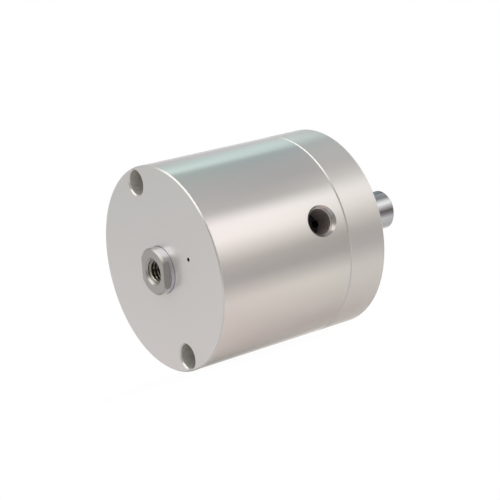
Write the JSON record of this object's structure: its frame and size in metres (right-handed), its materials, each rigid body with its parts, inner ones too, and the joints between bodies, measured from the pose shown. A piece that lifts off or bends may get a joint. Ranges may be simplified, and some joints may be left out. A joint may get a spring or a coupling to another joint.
{
  "type": "pancake pneumatic cylinder",
  "caption": "Short round single-acting air cylinder: cup-shaped barrel, screwed-on rear cover, spring-returned through rod with a tapped end, side air port.",
  "frame": {"origin": "centre of the front mounting face, on the rod axis", "axes": "+X along the rod, out of the front face; the two mounting holes lie on Z; the air port and the breather face +Y"},
  "size_m": [0.1014, 0.07, 0.07],
  "materials": {
    "anodised_aluminium": "fine turned, clear anodised",
    "plain_aluminium": "turned, bare",
    "rod_steel": "turned and milled",
    "hard_chrome": "ground and polished hard chrome",
    "black_oxide_steel": "black oxide",
    "washer_steel": "stamped",
    "spring_steel": "oiled wire",
    "bush_bronze": "sintered lining",
    "black_nitrile": "moulded",
    "urethane": "moulded",
    "band_acetal": "moulded",
    "wool_felt": "oiled felt"
  },
  "bodies": {
    "housing": {"barrel": "anodised_aluminium", "rear_cover": "anodised_aluminium", "cover_screws": "black_oxide_steel", "cover_o_ring": "black_nitrile", "front_rod_bush": "bush_bronze", "front_felt_wiper": "wool_felt", "front_bumper": "urethane", "rear_bumper": "urethane", "rear_rod_bush": "bush_bronze", "rear_rod_seal": "black_nitrile", "seal_spacer_washer": "washer_steel", "rear_rod_wiper": "urethane", "rear_snap_ring": "black_oxide_steel", "return_spring": "spring_steel"},
    "spring_carriage": {"spring_seat_washer": "washer_steel"},
    "rod": {"front_rod": "rod_steel", "rear_rod": "hard_chrome", "piston": "plain_aluminium", "piston_u_cup": "black_nitrile", "piston_guide_band": "band_acetal", "piston_o_ring": "black_nitrile"}
  },
  "joints": [
    {"name": "rod_slide", "type": "slide", "parent": "housing", "child": "spring_carriage", "axis": [1, 0, 0], "range_m": [0, 0.025], "stiffness_N_per_m": 1390, "springref_m": -0.0146, "deforming": ["return_spring"]},
    {"name": "rod_spin", "type": "hinge", "parent": "spring_carriage", "child": "rod", "pos_m": [0, 0, 0], "axis": [1, 0, 0], "continuous": true}
  ]
}
